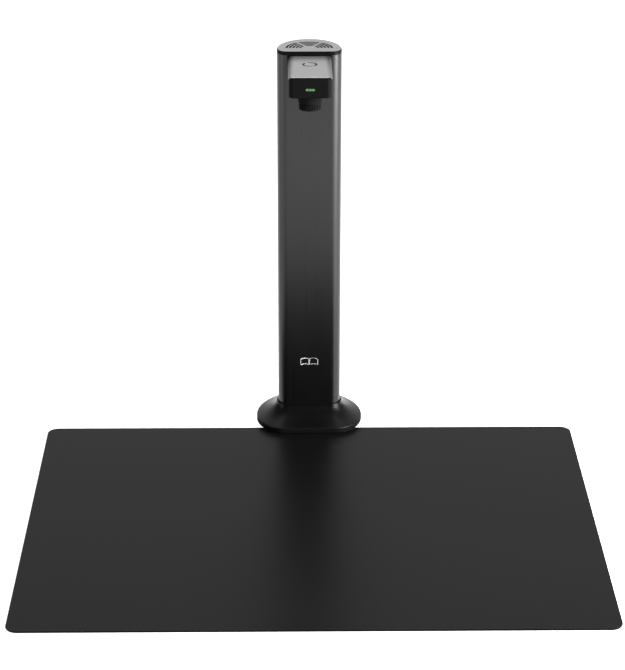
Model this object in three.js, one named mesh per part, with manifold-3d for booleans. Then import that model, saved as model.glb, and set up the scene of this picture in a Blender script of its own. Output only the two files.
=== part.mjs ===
// Overhead book scanner: a D-section column on a flared base, a head with a downward lens, and a loose scanning mat.
// Millimetres, +Z up, -Y towards the reader. The origin is the centre of the stand's footprint on the desk.
import * as THREE from "three";
import { mergeVertices } from "three/addons/utils/BufferGeometryUtils.js";
import Module from "manifold-3d";

const wasm = await Module();
wasm.setup();

// ---- driving dimensions -------------------------------------------------------------------------------------------
const MAT_W = 480, MAT_D = 380, MAT_R = 10, MAT_T = 1.5, MAT_TOP_T = 0.7; // mat outline, corner radius, thickness, top layer
const MAT_BACK_Y = -28; // the mat's back edge, under the base's front lip
const COLUMN = { hw: 28.5, front: -17.8, wide: -7, back: 25.5, flat: 19.5 }; // column section: half width, front, widest point, back, half flat
const WALL = 2; // column wall
const BASE = { hw: 48.4, front: -42.4, wide: -7.5, back: 45, flat: 23 }; // base outline at the floor
const COLLAR = { hw: 28.72, front: -18.02, wide: -7, back: 25.72, flat: 19.5 }; // inside of the base's collar
const PAD_T = 2.2; // rubber pad height, so the height of the base's lower edge
const COLUMN_Z0 = 7.8, COLUMN_Z1 = 352; // the extrusion's ends
const CAP_Z = 354.8, TOP_Z = 355.4; // top of the cap band, top of the vent plate
const NOTCH_HW = 19.3, NOTCH_Z = 331.4; // opening for the head
const HEAD_HW = 18.5, HEAD_FRONT = -82.8, HEAD_Z0 = 332, HEAD_FLOOR_Z = 335, HEAD_WALL_Z = 349.1; // housing
const COVER_HW = 18.9, COVER_FLAT_HW = 16, COVER_Z = 351.1, COVER_FRONT = -83; // head cover
const BUTTON_Y = -43.6, BUTTON_R = 6; // round button
const LENS_Y = -67; // optical axis
const LENS_UPPER_R = 10.35, LENS_RING_R = 9.7, LENS_SPLIT_Z = 324.3, LENS_END_Z = 318.5;
const PORT_X = 23.4, PORT_Y = -6, PORT_R = 3.4, PORT_HOLE_R = 1.4; // screw ports inside the extrusion
const SOCKET_Z = 66; // rear socket height
const LAMP_Y = -45; // lamp window centre
const LIGHT_Z = 339.6; // status light centre

// ---- geometry helpers ---------------------------------------------------------------------------------------------
// A D-shaped outline: flat front, elliptical front corners, half-elliptical back.
function outline({ hw, front, wide, back, flat }, nc = 5, nb = 14) {
  const pts = [];
  for (let i = 0; i <= nc; i++) {
    const t = (i / nc) * (Math.PI / 2);
    pts.push([flat + (hw - flat) * Math.sin(t), wide - (wide - front) * Math.cos(t)]);
  }
  for (let i = 1; i < nb; i++) {
    const t = (i / nb) * Math.PI;
    pts.push([hw * Math.cos(t), wide + (back - wide) * Math.sin(t)]);
  }
  for (let i = nc; i >= 0; i--) {
    const t = (i / nc) * (Math.PI / 2);
    pts.push([-flat - (hw - flat) * Math.sin(t), wide - (wide - front) * Math.cos(t)]);
  }
  return pts;
}
function mix(a, b, u) {
  const out = {};
  for (const key of Object.keys(a)) out[key] = a[key] + (b[key] - a[key]) * u;
  return out;
}
function inset(o, d) {
  return { hw: o.hw - d, front: o.front + d, wide: o.wide, back: o.back - d, flat: o.flat };
}
function shapeOf(points) {
  return new THREE.Shape(points.map(([x, y]) => new THREE.Vector2(x, y)));
}
function circle(r, n, x = 0, y = 0) {
  return Array.from({ length: n }, (_, i) => [x + r * Math.cos((i / n) * 2 * Math.PI), y + r * Math.sin((i / n) * 2 * Math.PI)]);
}
function roundRect(hx, hy, r, n = 4, x = 0, y = 0) {
  const pts = [];
  const corners = [[hx - r, -hy + r, -90], [hx - r, hy - r, 0], [-hx + r, hy - r, 90], [-hx + r, -hy + r, 180]];
  for (const [cx, cy, a0] of corners) {
    for (let i = 0; i <= n; i++) {
      const a = ((a0 + (i / n) * 90) * Math.PI) / 180;
      pts.push([x + cx + r * Math.cos(a), y + cy + r * Math.sin(a)]);
    }
  }
  return pts;
}
// A prism standing on z0, from an outline in the XY plane with optional holes.
function prism(points, z0, z1, holes = []) {
  const shape = shapeOf(points);
  for (const h of holes) shape.holes.push(new THREE.Path(h.map(([x, y]) => new THREE.Vector2(x, y))));
  const g = new THREE.ExtrudeGeometry(shape, { depth: z1 - z0, bevelEnabled: false, steps: 1 });
  g.translate(0, 0, z0);
  return g;
}
// A prism along Y from an outline in the XZ plane.
function prismY(points, y0, y1, holes = []) {
  const g = prism(points, 0, y1 - y0, holes);
  g.rotateX(Math.PI / 2);
  g.translate(0, y1, 0);
  return g;
}
// A prism along X from an outline in the YZ plane.
function prismX(points, x0, x1, holes = []) {
  const g = prism(points, 0, x1 - x0, holes);
  g.applyMatrix4(new THREE.Matrix4().set(0, 0, 1, x0, 1, 0, 0, 0, 0, 1, 0, 0, 0, 0, 0, 1));
  return g;
}
function box(x0, x1, y0, y1, z0, z1) {
  const g = new THREE.BoxGeometry(x1 - x0, y1 - y0, z1 - z0);
  g.translate((x0 + x1) / 2, (y0 + y1) / 2, (z0 + z1) / 2);
  return g;
}
function cyl(r, z0, z1, x = 0, y = 0, n = 24) {
  const g = new THREE.CylinderGeometry(r, r, z1 - z0, n);
  g.rotateX(Math.PI / 2);
  g.translate(x, y, (z0 + z1) / 2);
  return g;
}
// A body of revolution about a vertical axis: [r, z] points, counter-clockwise seen with r to the right and z up.
function lathe(profile, x = 0, y = 0, n = 32) {
  const pts = [...profile, profile[0]].map(([r, z]) => new THREE.Vector2(r, z));
  const g = new THREE.LatheGeometry(pts, n);
  g.rotateX(Math.PI / 2);
  g.translate(x, y, 0);
  return g;
}
function solid(geometry) {
  const g = geometry.clone();
  g.deleteAttribute("normal");
  g.deleteAttribute("uv");
  const m = mergeVertices(g, 1e-5);
  const mesh = new wasm.Mesh({
    numProp: 3,
    vertProperties: new Float32Array(m.attributes.position.array),
    triVerts: new Uint32Array(m.index.array),
  });
  return new wasm.Manifold(mesh);
}
function back(man) {
  const out = man.getMesh();
  const g = new THREE.BufferGeometry();
  const stride = out.numProp;
  const pos = new Float32Array((out.vertProperties.length / stride) * 3);
  for (let i = 0; i < pos.length / 3; i++) for (let k = 0; k < 3; k++) pos[i * 3 + k] = out.vertProperties[i * stride + k];
  g.setAttribute("position", new THREE.BufferAttribute(pos, 3));
  g.setIndex(new THREE.BufferAttribute(new Uint32Array(out.triVerts), 1));
  return g;
}
const cut = (a, ...list) => back(list.reduce((m, b) => m.subtract(solid(b)), solid(a)));
const join = (a, ...list) => back(list.reduce((m, b) => m.add(solid(b)), solid(a)));
const common = (a, b) => back(solid(a).intersect(solid(b)));
// A ring swept round the base: each profile point is [u, z], with u = 0 on the base outline and 1 on the collar.
function ringStack(profile, nc = 5, nb = 14) {
  const rings = profile.map(([u, z]) => outline(mix(BASE, COLLAR, u), nc, nb).map(([x, y]) => [x, y, z]));
  const n = rings[0].length, m = rings.length;
  const pos = [], index = [];
  for (const r of rings) for (const p of r) pos.push(...p);
  for (let j = 0; j < m; j++) {
    for (let i = 0; i < n; i++) {
      const a = j * n + i, b = j * n + ((i + 1) % n), c = ((j + 1) % m) * n + ((i + 1) % n), d = ((j + 1) % m) * n + i;
      index.push(a, b, c, a, c, d);
    }
  }
  const g = new THREE.BufferGeometry();
  g.setAttribute("position", new THREE.BufferAttribute(new Float32Array(pos), 3));
  g.setIndex(index);
  return g;
}
function screw(r, head, hz0, hz1, z1, x, y) {
  return join(cyl(head, hz0, hz1, x, y, 12), cyl(r, (hz0 + hz1) / 2, z1, x, y, 8));
}
function screwDown(r, head, hz0, hz1, z0, x, y) {
  return join(cyl(head, hz0, hz1, x, y, 12), cyl(r, z0, (hz0 + hz1) / 2, x, y, 8));
}

// ---- materials ----------------------------------------------------------------------------------------------------
const M = {
  gunmetal: new THREE.MeshStandardMaterial({ color: 0x5a5c5e, metalness: 0.85, roughness: 0.4 }),
  base_black: new THREE.MeshStandardMaterial({ color: 0x2b2c2e, metalness: 0.3, roughness: 0.4 }),
  satin_grey: new THREE.MeshStandardMaterial({ color: 0xb4b6b8, metalness: 0.4, roughness: 0.45 }),
  black_plastic: new THREE.MeshStandardMaterial({ color: 0x18191a, roughness: 0.5 }),
  rubber: new THREE.MeshStandardMaterial({ color: 0x151515, roughness: 0.9 }),
  mat: new THREE.MeshStandardMaterial({ color: 0x2a2a2b, roughness: 0.6 }),
  steel: new THREE.MeshStandardMaterial({ color: 0xa9abad, metalness: 0.9, roughness: 0.35 }),
  iron: new THREE.MeshStandardMaterial({ color: 0x3a3b3c, metalness: 0.8, roughness: 0.7 }),
  pcb: new THREE.MeshStandardMaterial({ color: 0x124a2a, roughness: 0.5 }),
  cable: new THREE.MeshStandardMaterial({ color: 0xd8d4c4, roughness: 0.5 }),
  glass: new THREE.MeshStandardMaterial({ color: 0x30343c, roughness: 0.05, transparent: true, opacity: 0.4 }),
  light: new THREE.MeshStandardMaterial({ color: 0x4fd64a, emissive: 0x2fc02a, roughness: 0.3 }),
  diffuser: new THREE.MeshStandardMaterial({ color: 0xe8e8e4, roughness: 0.5 }),
};
const group = new THREE.Group();
function add(name, geometry, material) {
  const mesh = new THREE.Mesh(geometry, M[material]);
  mesh.name = name;
  group.add(mesh);
}

// ---- mat ----------------------------------------------------------------------------------------------------------
const matY = MAT_BACK_Y - MAT_D / 2;
add("scan_mat", prism(roundRect(MAT_W / 2, MAT_D / 2, MAT_R, 6, 0, matY), MAT_T - MAT_TOP_T, MAT_T), "mat");
add("mat_backing", prism(roundRect(MAT_W / 2 - 0.4, MAT_D / 2 - 0.4, MAT_R - 0.4, 6, 0, matY), 0, MAT_T - MAT_TOP_T), "rubber");

// ---- base ---------------------------------------------------------------------------------------------------------
const BASE_SCREWS = [[34, -22], [-34, -22], [27, 20], [-27, 20]];
const flare = ringStack([
  [0, PAD_T], [0, 6.3], [0.02, 6.9], [0.06, 7.4], [0.2, 8.5], [0.4, 10.2], [0.6, 12.5], [0.75, 14.8], [0.87, 17.4], [0.94, 19.6], [0.97, 21.1], [1, 21.1],
  [1, 14.2], [0.6, 9.6], [0.35, 7.8], [0.12, 6.4], [0.055, 5.4], [0.055, PAD_T],
]);
let cover = join(flare, ...BASE_SCREWS.map(([x, y]) => cyl(3.2, 4.8, 9.7, x, y, 14)));
cover = cut(cover, ...BASE_SCREWS.map(([x, y]) => cyl(1.3, 4, 7.2, x, y, 10)));
add("base_cover", cover, "base_black");

const plateHoles = [
  ...BASE_SCREWS.map(([x, y]) => cyl(1.6, 2, 5, x, y, 10)),
  ...BASE_SCREWS.map(([x, y]) => cyl(3, 2, 3.7, x, y, 12)),
  cyl(1.6, 2, 5, PORT_X, PORT_Y, 10), cyl(1.6, 2, 5, -PORT_X, PORT_Y, 10),
  cyl(3, 2, 3.7, PORT_X, PORT_Y, 12), cyl(3, 2, 3.7, -PORT_X, PORT_Y, 12),
];
add("base_plate", cut(prism(outline(mix(BASE, COLLAR, 0.12)), PAD_T, 4.8), ...plateHoles), "steel");

const spigot = prism([[17, -14], [17, 9], [-17, 9], [-17, -14]], 6, 16);
add("ballast_weight", cut(
  join(prism(outline(mix(BASE, COLLAR, 0.62), 5, 16), 4.8, COLUMN_Z0), spigot),
  ...BASE_SCREWS.map(([x, y]) => cyl(3.7, 4, 9, x, y, 14)),
  cyl(1.7, 4, 9, PORT_X, PORT_Y, 10), cyl(1.7, 4, 9, -PORT_X, PORT_Y, 10),
), "iron");
add("foot_pad", prism(outline({ hw: 38, front: -26.4, wide: -4, back: 36, flat: 24 }, 5, 16), 0, PAD_T), "rubber");
BASE_SCREWS.forEach(([x, y], i) => add(`base_screw_${i + 1}`, screw(1.15, 2.6, 2.5, 3.7, 7, x, y), "steel"));
[-1, 1].forEach((s, i) => add(`column_bolt_${i + 1}`, screw(1.25, 2.6, 2.5, 3.7, 22, s * PORT_X, PORT_Y), "steel"));

// ---- column -------------------------------------------------------------------------------------------------------
const inner = { hw: COLUMN.hw - WALL, front: COLUMN.front + WALL, wide: COLUMN.wide, back: COLUMN.back - WALL, flat: COLUMN.flat };
const ribs = [];
for (const s of [-1, 1]) {
  ribs.push(prism(circle(PORT_R, 14, s * PORT_X, PORT_Y), COLUMN_Z0, COLUMN_Z1));
  ribs.push(box(Math.min(s * 17.7, s * 21.5), Math.max(s * 17.7, s * 21.5), 10.6, 11.8, COLUMN_Z0, 330));
  ribs.push(box(Math.min(s * 16.4, s * 19.6), Math.max(s * 16.4, s * 19.6), 13.8, 15, COLUMN_Z0, 330));
}
let tube = join(prism(outline(COLUMN), COLUMN_Z0, COLUMN_Z1, [outline(inner)]), ...ribs);
tube = cut(tube,
  cyl(PORT_HOLE_R, 0, 400, PORT_X, PORT_Y, 10), cyl(PORT_HOLE_R, 0, 400, -PORT_X, PORT_Y, 10),
  box(-NOTCH_HW, NOTCH_HW, -25, -14.5, NOTCH_Z, 360),
  prismY(roundRect(11, 5.5, 1.5, 3, 0, SOCKET_Z), 17, 30));
add("column_tube", tube, "gunmetal");

// ---- cap and vents ------------------------------------------------------------------------------------------------
const FAN_Y = -5.8;
const halfDisc = (r, drop) => {
  const pts = [[-r, FAN_Y - drop], [r, FAN_Y - drop]];
  for (let i = 0; i <= 12; i++) pts.push([r * Math.cos((i / 12) * Math.PI), FAN_Y + r * Math.sin((i / 12) * Math.PI)]);
  return pts;
};
const skirtOuter = { hw: 26.1, front: -15, wide: -7, back: 23, flat: 19.5 };
const skirtInner = { hw: 24.5, front: -14, wide: -7, back: 21.4, flat: 19.5 };
const skirt = common(prism(outline(skirtOuter), 342, COLUMN_Z1 + 0.8, [outline(skirtInner)]), box(-40, 40, 2, 40, 330, 360));
const CAP_SCREWS = [[PORT_X, PORT_Y], [-PORT_X, PORT_Y]];
const BRACKET_SCREWS = [[8, -11.4], [-8, -11.4]];
let cap = join(prism(outline(COLUMN), COLUMN_Z1, CAP_Z), skirt, box(-19, 19, COLUMN.front, COLUMN.front + 2, 351.3, COLUMN_Z1 + 0.8));
cap = cut(cap,
  prism(halfDisc(21.5, 0), COLUMN_Z1 - 1, 360),
  ...[...CAP_SCREWS, ...BRACKET_SCREWS].flatMap(([x, y]) => [cyl(1.6, 352, 360, x, y, 10), cyl(2.7, 353.1, 360, x, y, 12)]));
add("cap_body", cap, "black_plastic");

const slots = [];
for (const r of [8, 11, 14, 17, 19.9]) {
  for (const a0 of [0, 60, 120]) {
    const half = 0.9, margin = (a0 === 0 ? 0 : 1) / r, marginEnd = (a0 === 120 ? 0 : 1) / r;
    const s = (a0 * Math.PI) / 180 + margin, e = ((a0 + 60) * Math.PI) / 180 - marginEnd, n = r > 12 ? 4 : 3;
    const pts = [];
    for (let i = 0; i <= n; i++) pts.push([(r + half) * Math.cos(s + ((e - s) * i) / n), FAN_Y + (r + half) * Math.sin(s + ((e - s) * i) / n)]);
    for (let i = n; i >= 0; i--) pts.push([(r - half) * Math.cos(s + ((e - s) * i) / n), FAN_Y + (r - half) * Math.sin(s + ((e - s) * i) / n)]);
    slots.push(prism(pts, CAP_Z - 1, TOP_Z + 1));
  }
}
add("vent_plate", cut(prism(outline(inset(COLUMN, 0.55)), CAP_Z, TOP_Z), ...slots), "satin_grey");
CAP_SCREWS.forEach(([x, y], i) => add(`cap_screw_${i + 1}`, screwDown(1.25, 2.4, 353.1, 354.3, 344, x, y), "steel"));

// ---- head bracket -------------------------------------------------------------------------------------------------
let bracket = prismX([
  [-36, HEAD_FLOOR_Z], [-4, HEAD_FLOOR_Z], [-4, COLUMN_Z1], [-15, COLUMN_Z1], [-15, 350.2], [-5.8, 350.2], [-5.8, 337], [-36, 337],
], -12, 12);
const HEAD_SCREWS = [[9, -27], [-9, -27]];
bracket = cut(bracket,
  box(-5.8, 5.8, -8, -2, 337.4, 341),
  ...BRACKET_SCREWS.map(([x, y]) => cyl(1.3, 350, 353, x, y, 14)),
  ...HEAD_SCREWS.map(([x, y]) => cyl(1.3, 334, 338, x, y, 14)));
add("head_bracket", bracket, "steel");
BRACKET_SCREWS.forEach(([x, y], i) => add(`bracket_screw_${i + 1}`, screwDown(1.2, 2.4, 353.1, 354.3, 350.6, x, y), "steel"));
HEAD_SCREWS.forEach(([x, y], i) => add(`head_screw_${i + 1}`, screw(1.2, 2.2, 333.1, 334.1, 337.6, x, y), "steel"));

// ---- head housing -------------------------------------------------------------------------------------------------
function housingOutline(hw, front, rear, cx, cy, n = 6) {
  const pts = [[hw, rear], [-hw, rear]];
  for (let i = 0; i <= n; i++) {
    const t = (i / n) * (Math.PI / 2);
    pts.push([-hw + cx - cx * Math.cos(t), front + cy - cy * Math.sin(t)]);
  }
  for (let i = n; i >= 0; i--) {
    const t = (i / n) * (Math.PI / 2);
    pts.push([hw - cx + cx * Math.cos(t), front + cy - cy * Math.sin(t)]);
  }
  return pts;
}
const HEAD_REAR = -8, HEAD_WALL = 1.8;
let housing = prism(housingOutline(HEAD_HW, HEAD_FRONT, HEAD_REAR, 4, 6.2), HEAD_Z0, HEAD_WALL_Z + 1.2);
housing = cut(housing,
  prism(housingOutline(HEAD_HW - HEAD_WALL, HEAD_FRONT + HEAD_WALL, HEAD_REAR + 5, 2.6, 4.6), HEAD_FLOOR_Z, 360),
  box(-30, 30, HEAD_FRONT + HEAD_WALL, 10, HEAD_WALL_Z, 360));
const SENSOR_SCREWS = [[11.2, -78.6], [-11.2, -78.6], [11.2, -55.4], [-11.2, -55.4]];
const POSTS = [[14.7, -53.1], [-14.7, -53.1], [14.7, -36.9], [-14.7, -36.9]];
housing = join(housing,
  box(14.4, 17, -51, -39, 334.5, 336.6), box(-17, -14.4, -51, -39, 334.5, 336.6),
  ...POSTS.map(([x, y]) => box(Math.min(x, Math.sign(x) * 17), Math.max(x, Math.sign(x) * 17), y - 1, y + 1, 334.5, 340)));
housing = cut(housing,
  cyl(LENS_UPPER_R + 0.3, 330, 340, 0, LENS_Y, 28),
  box(-12.2, 12.2, LAMP_Y - 4.7, LAMP_Y + 4.7, 330, 336),
  prismY(roundRect(4.15, 1.15, 1.1, 4, 0, LIGHT_Z), -90, -78),
  ...HEAD_SCREWS.flatMap(([x, y]) => [cyl(1.4, 330, 340, x, y, 10), cyl(2.5, 330, 334.1, x, y, 12)]),
  ...SENSOR_SCREWS.map(([x, y]) => cyl(0.9, 333.7, 340, x, y, 12)));
add("head_housing", housing, "black_plastic");

const shoulder = [0, 18, 36, 54, 72, 90].map((a) => [COVER_FLAT_HW + (COVER_HW - COVER_FLAT_HW) * Math.cos((a * Math.PI) / 180), HEAD_WALL_Z + (COVER_Z - HEAD_WALL_Z) * Math.sin((a * Math.PI) / 180)]);
let lid = prismY([
  [-COVER_HW, HEAD_WALL_Z], [-16.5, HEAD_WALL_Z], [-16.3, 347.2], [-15.1, 347.2], [-14.9, 349.6], [14.9, 349.6], [15.1, 347.2], [16.3, 347.2], [16.5, HEAD_WALL_Z],
  ...shoulder, ...shoulder.map(([x, z]) => [-x, z]).reverse().slice(0, -1),
], COVER_FRONT, -15.3);
lid = cut(lid,
  box(-17.9, 17.9, -90, HEAD_FRONT + HEAD_WALL + 0.2, 340, HEAD_WALL_Z + 1.2),
  box(-30, 30, -90, HEAD_FRONT + 5, 340, HEAD_WALL_Z),
  box(-30, 30, -30, 0, 340, HEAD_WALL_Z),
  cyl(BUTTON_R + 0.3, 340, 360, 0, BUTTON_Y, 28));
add("head_cover", lid, "satin_grey");

// a stadium light pipe with an inner flange
add("status_light", join(
  prismY(roundRect(4, 1, 0.98, 4, 0, LIGHT_Z), HEAD_FRONT - 0.2, HEAD_FRONT + 2.4),
  prismY(roundRect(5.2, 1.35, 1, 3, 0, LIGHT_Z), HEAD_FRONT + HEAD_WALL, HEAD_FRONT + 3)), "light");

// ---- button -------------------------------------------------------------------------------------------------------
add("light_button", join(
  lathe([[0, 348], [7.2, 348], [7.2, 349.3], [BUTTON_R, 349.3], [BUTTON_R, 350.9], [BUTTON_R - 0.2, 351.05], [0, 351.05]], 0, BUTTON_Y, 28),
  cyl(2, 345, 348.4, 0, BUTTON_Y, 16)), "satin_grey");
add("switch_plunger", cyl(1.5, 342.6, 345, 0, BUTTON_Y, 16), "black_plastic");
add("button_board", box(-15.6, 15.6, -54.1, -35.9, 340, 341.2), "pcb");
add("button_switch", cut(box(-3.1, 3.1, BUTTON_Y - 3.1, BUTTON_Y + 3.1, 341.2, 344), cyl(1.7, 341.6, 345, 0, BUTTON_Y, 16)), "black_plastic");

// ---- lamp ---------------------------------------------------------------------------------------------------------
add("lamp_window", join(box(-12, 12, LAMP_Y - 4.5, LAMP_Y + 4.5, 333.2, 335.2), box(-13.4, 13.4, LAMP_Y - 5.9, LAMP_Y + 5.9, 335, 335.6)), "diffuser");
[-6, 6].forEach((x, i) => add(`lamp_led_${i + 1}`, box(x - 1.4, x + 1.4, LAMP_Y - 1.4, LAMP_Y + 1.4, 335.8, 336.6), "diffuser"));
add("lamp_board", box(-15.6, 15.6, LAMP_Y - 5.8, LAMP_Y + 5.8, 336.6, 337.6), "pcb");

// ---- lens ---------------------------------------------------------------------------------------------------------
let holder = lathe([
  [6.6, 319.3], [8, 319.3], [8, 324.6], [LENS_UPPER_R - 0.4, 324.6], [LENS_UPPER_R, 325], [LENS_UPPER_R, 335.4], [6.6, 335.4],
], 0, LENS_Y, 28);
holder = join(holder, cut(prism(roundRect(13, 13, 1.5, 3, 0, LENS_Y), 335, 336.9), cyl(6.6, 330, 340, 0, LENS_Y, 28)));
holder = cut(holder, ...SENSOR_SCREWS.map(([x, y]) => cyl(1.1, 330, 340, x, y, 12)));
add("lens_holder", holder, "black_plastic");

// the grip ring: vertical ribs round the outside, a smooth rounded lower edge
const grip = [];
const RIBS = 20;
for (let i = 0; i < RIBS; i++) {
  for (const [f, r] of [[0, LENS_RING_R], [0.5, LENS_RING_R], [0.62, LENS_RING_R - 0.45], [0.88, LENS_RING_R - 0.45]]) {
    const a = ((i + f - 0.25) / RIBS) * 2 * Math.PI;
    grip.push([r * Math.cos(a), LENS_Y + r * Math.sin(a)]);
  }
}
const ring = cut(
  join(prism(grip, 319.6, LENS_SPLIT_Z - 0.5),
    lathe([[0, LENS_SPLIT_Z - 0.6], [LENS_RING_R - 0.3, LENS_SPLIT_Z - 0.6], [LENS_RING_R - 0.3, LENS_SPLIT_Z], [0, LENS_SPLIT_Z]], 0, LENS_Y, 28),
    lathe([[0, LENS_END_Z], [LENS_RING_R - 0.6, LENS_END_Z], [LENS_RING_R - 0.15, LENS_END_Z + 0.3], [LENS_RING_R, LENS_END_Z + 0.8], [LENS_RING_R, 319.9], [0, 319.9]], 0, LENS_Y, 28)),
  cyl(8.2, 300, 340, 0, LENS_Y, 28), cyl(9.05, 300, 319.6, 0, LENS_Y, 28));
add("focus_ring", ring, "black_plastic");
add("ring_retainer", lathe([[6.75, 318.7], [8.75, 318.7], [8.75, 319.3], [6.75, 319.3]], 0, LENS_Y, 28), "black_plastic");
add("lens_barrel", lathe([
  [4.95, 319.2], [6.35, 319.2], [6.35, 331], [4, 331], [4, 328], [3.2, 328], [3.2, 322.6], [4.85, 322.6],
], 0, LENS_Y, 28), "black_plastic");
add("front_lens", lathe([[0, 320.9], [1.8, 321.0], [3.4, 321.35], [4.7, 321.9], [4.7, 322.6], [0, 322.6]], 0, LENS_Y, 28), "glass");
add("rear_lens", lathe([[0, 328], [3.85, 328], [3.85, 329.2], [2, 329.7], [0, 329.85]], 0, LENS_Y, 28), "glass");
add("image_sensor", box(-4, 4, LENS_Y - 3.25, LENS_Y + 3.25, 336.1, 336.9), "black_plastic");
add("sensor_board", cut(box(-14, 14, -80.4, -53.6, 336.9, 338.1), ...SENSOR_SCREWS.map(([x, y]) => cyl(1.1, 330, 340, x, y, 12))), "pcb");
SENSOR_SCREWS.forEach(([x, y], i) => add(`sensor_screw_${i + 1}`, screwDown(0.8, 1.6, 338.1, 338.9, 333.8, x, y), "steel"));
add("sensor_connector", box(-6, 6, -60, -56, 338.1, 339.6), "black_plastic");

// ---- electronics in the column ------------------------------------------------------------------------------------
add("main_board", box(-18.1, 18.1, 12, 13.6, 60, 200), "pcb");
add("board_connector", box(-6.5, 6.5, 9.6, 12, 194, 199), "black_plastic");
// the flat cable's centre line in the YZ plane, thickened
const lane = [[-56, 338.6], [-2, 338.6], [0.8, 338], [2.4, 336.4], [3, 333.6], [3, 232], [3.6, 229], [10, 210], [10.8, 206], [10.8, 199]];
const half = 0.25, left = [], right = [];
lane.forEach(([y, z], i) => {
  const a = lane[Math.max(i - 1, 0)], b = lane[i], c = lane[Math.min(i + 1, lane.length - 1)];
  const u = [b[0] - a[0], b[1] - a[1]], v = [c[0] - b[0], c[1] - b[1]];
  const nu = Math.hypot(...u) || 1, nv = Math.hypot(...v) || 1;
  let d = [u[0] / nu + v[0] / nv, u[1] / nu + v[1] / nv];
  const nd = Math.hypot(...d);
  d = [d[0] / nd, d[1] / nd];
  const ref = i === 0 ? [v[0] / nv, v[1] / nv] : [u[0] / nu, u[1] / nu];
  const k = half / Math.max(0.5, d[0] * ref[0] + d[1] * ref[1]);
  left.push([y - d[1] * k, z + d[0] * k]);
  right.push([y + d[1] * k, z - d[0] * k]);
});
add("ribbon_cable", prismX([...right, ...left.reverse()], -5, 5), "cable");
add("processor_chip", box(-7, 7, 10.8, 12, 122, 136), "black_plastic");
const fins = [];
for (let i = 0; i < 6; i++) fins.push(box(-9 + i * 3.36, -9 + i * 3.36 + 1.2, 3, 9.6, 120, 138));
add("heat_sink", join(box(-9, 9, 9.4, 10.8, 120, 138), ...fins), "steel");

// rear socket: a stadium shell on the board, its tongue, and the bezel in the column's back
const shellOut = roundRect(4.47, 1.63, 1.6, 4, 0, SOCKET_Z), shellIn = roundRect(4.17, 1.33, 1.3, 4, 0, SOCKET_Z);
add("socket_shell", join(prismY(shellOut, 14.4, 22.2, [shellIn]), prismY(shellOut, 13.6, 14.6)), "steel");
add("socket_tongue", prismY(roundRect(3.3, 0.35, 0.2, 2, 0, SOCKET_Z), 14.6, 21.4), "black_plastic");
add("port_bezel", join(
  prismY(roundRect(10.6, 5.1, 1.3, 3, 0, SOCKET_Z), 18.6, 22.5, [roundRect(4.8, 1.95, 1.9, 4, 0, SOCKET_Z)]),
  prismY(roundRect(12.9, 7, 1.3, 3, 0, SOCKET_Z), 17.4, 19.0, [roundRect(4.8, 1.95, 1.9, 4, 0, SOCKET_Z)])), "black_plastic");

export default group;
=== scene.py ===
import math

import bmesh
import bpy
from mathutils import Matrix, Vector


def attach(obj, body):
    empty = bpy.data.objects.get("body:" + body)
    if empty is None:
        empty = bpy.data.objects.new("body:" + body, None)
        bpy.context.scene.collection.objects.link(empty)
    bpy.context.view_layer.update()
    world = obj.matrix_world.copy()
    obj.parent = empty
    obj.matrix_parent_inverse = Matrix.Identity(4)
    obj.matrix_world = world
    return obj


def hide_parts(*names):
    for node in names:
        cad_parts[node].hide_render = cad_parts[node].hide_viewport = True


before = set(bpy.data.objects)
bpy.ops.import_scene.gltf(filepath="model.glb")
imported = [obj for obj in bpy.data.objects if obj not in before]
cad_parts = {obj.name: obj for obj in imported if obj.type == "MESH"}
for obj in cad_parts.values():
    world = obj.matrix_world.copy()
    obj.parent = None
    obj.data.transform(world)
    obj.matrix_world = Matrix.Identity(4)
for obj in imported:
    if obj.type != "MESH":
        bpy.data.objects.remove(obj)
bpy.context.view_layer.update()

MM = 0.001

# ---- dimensions of the part, millimetres --------------------------------------------------------------------------
COLUMN = dict(hw=28.5, front=-17.8, wide=-7.0, back=25.5, flat=19.5)
BASE = dict(hw=48.4, front=-42.4, wide=-7.5, back=45.0, flat=23.0)
COLLAR = dict(hw=28.72, front=-18.02, wide=-7.0, back=25.72, flat=19.5)
BUTTON_Y = -43.6
LENS_Y = -67.0
LAMP_Y = -45.0
SOCKET_Z = 66.0
FAN_Y = -5.8
HEAD_FRONT = -82.8
HEAD_HW = 18.5
LIGHT_Z = 339.6
PORT_X = 23.4
CAP_Z0, CAP_Z1, TOP_Z = 352.0, 354.8, 355.4


# ---- mesh helpers -------------------------------------------------------------------------------------------------
def outline(o, nc=18, nb=72):
    pts = []
    for i in range(nc + 1):
        t = i / nc * math.pi / 2
        pts.append((o["flat"] + (o["hw"] - o["flat"]) * math.sin(t), o["wide"] - (o["wide"] - o["front"]) * math.cos(t)))
    for i in range(1, nb):
        t = i / nb * math.pi
        pts.append((o["hw"] * math.cos(t), o["wide"] + (o["back"] - o["wide"]) * math.sin(t)))
    for i in range(nc, -1, -1):
        t = i / nc * math.pi / 2
        pts.append((-o["flat"] - (o["hw"] - o["flat"]) * math.sin(t), o["wide"] - (o["wide"] - o["front"]) * math.cos(t)))
    return pts


def mix(a, b, u):
    return {k: a[k] + (b[k] - a[k]) * u for k in a}


def inset(o, d):
    return dict(hw=o["hw"] - d, front=o["front"] + d, wide=o["wide"], back=o["back"] - d, flat=o["flat"])


def circle(r, n, x=0.0, y=0.0):
    return [(x + r * math.cos(i / n * 2 * math.pi), y + r * math.sin(i / n * 2 * math.pi)) for i in range(n)]


def round_rect(hx, hy, r, n=6, x=0.0, y=0.0):
    pts = []
    for cx, cy, a0 in ((hx - r, -hy + r, -90), (hx - r, hy - r, 0), (-hx + r, hy - r, 90), (-hx + r, -hy + r, 180)):
        for i in range(n + 1):
            a = math.radians(a0 + i / n * 90)
            pts.append((x + cx + r * math.cos(a), y + cy + r * math.sin(a)))
    return pts


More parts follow.
